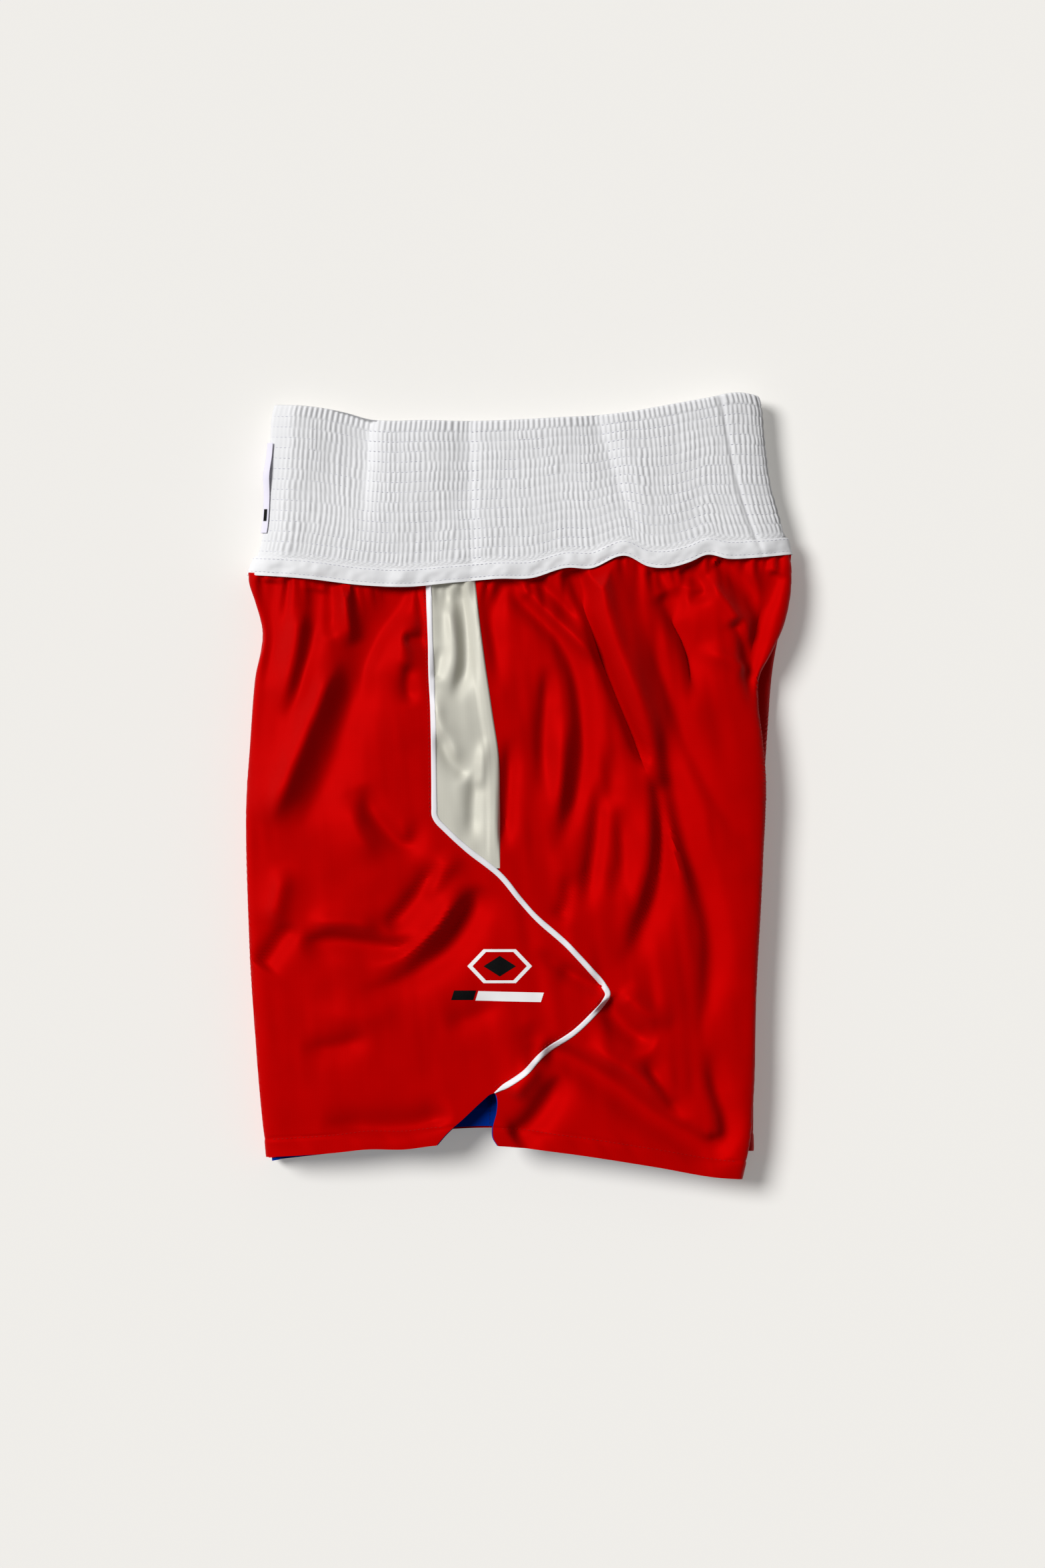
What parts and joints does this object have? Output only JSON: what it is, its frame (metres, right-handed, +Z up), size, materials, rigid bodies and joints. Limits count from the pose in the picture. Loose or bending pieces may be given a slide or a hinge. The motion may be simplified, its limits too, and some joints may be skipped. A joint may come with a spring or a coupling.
{
  "type": "boxing shorts",
  "caption": "Wide knee-length boxing shorts with a tall elastic waistband, side pockets, piped side seams, hem slits and a contrast lining, laid flat on their side.",
  "frame": {"origin": "on the surface the shorts lie on, under the middle of their bounding box", "axes": "+X from the front of the shorts to their back, +Y from the hems up to the waist, +Z up off the surface, towards the wearer's left side"},
  "size_m": [0.3724, 0.5362, 0.0331],
  "materials": {
    "red_satin": "soft satin sheen",
    "blue_satin": "soft satin sheen",
    "grey_satin": "soft satin sheen",
    "piping_cord": "matt woven",
    "waistband_cloth": "matt woven, shirred",
    "strip_cloth": "matt woven",
    "elastic": "covered rubber thread",
    "pocketing": "matt woven",
    "woven_label": "matt woven"
  },
  "bodies": {
    "root": {"waistband_casing": "waistband_cloth", "waist_seam_strip": "strip_cloth", "elastic_row_01": "elastic", "elastic_row_02": "elastic", "elastic_row_03": "elastic", "elastic_row_04": "elastic", "elastic_row_05": "elastic", "elastic_row_06": "elastic", "elastic_row_07": "elastic", "elastic_row_08": "elastic", "elastic_row_09": "elastic", "elastic_row_10": "elastic", "elastic_row_11": "elastic", "elastic_row_12": "elastic", "elastic_row_13": "elastic", "elastic_row_14": "elastic", "front_label": "woven_label", "size_label": "woven_label", "left_front_panel": "red_satin", "left_back_panel": "red_satin", "left_side_panel": "grey_satin", "left_piping": "piping_cord", "left_pocket_bag": "pocketing", "left_lining_front": "blue_satin", "left_lining_back": "blue_satin", "right_front_panel": "red_satin", "right_back_panel": "red_satin", "right_side_panel": "grey_satin", "right_piping": "piping_cord", "right_pocket_bag": "pocketing", "right_lining_front": "blue_satin", "right_lining_back": "blue_satin"}
  },
  "joints": []
}
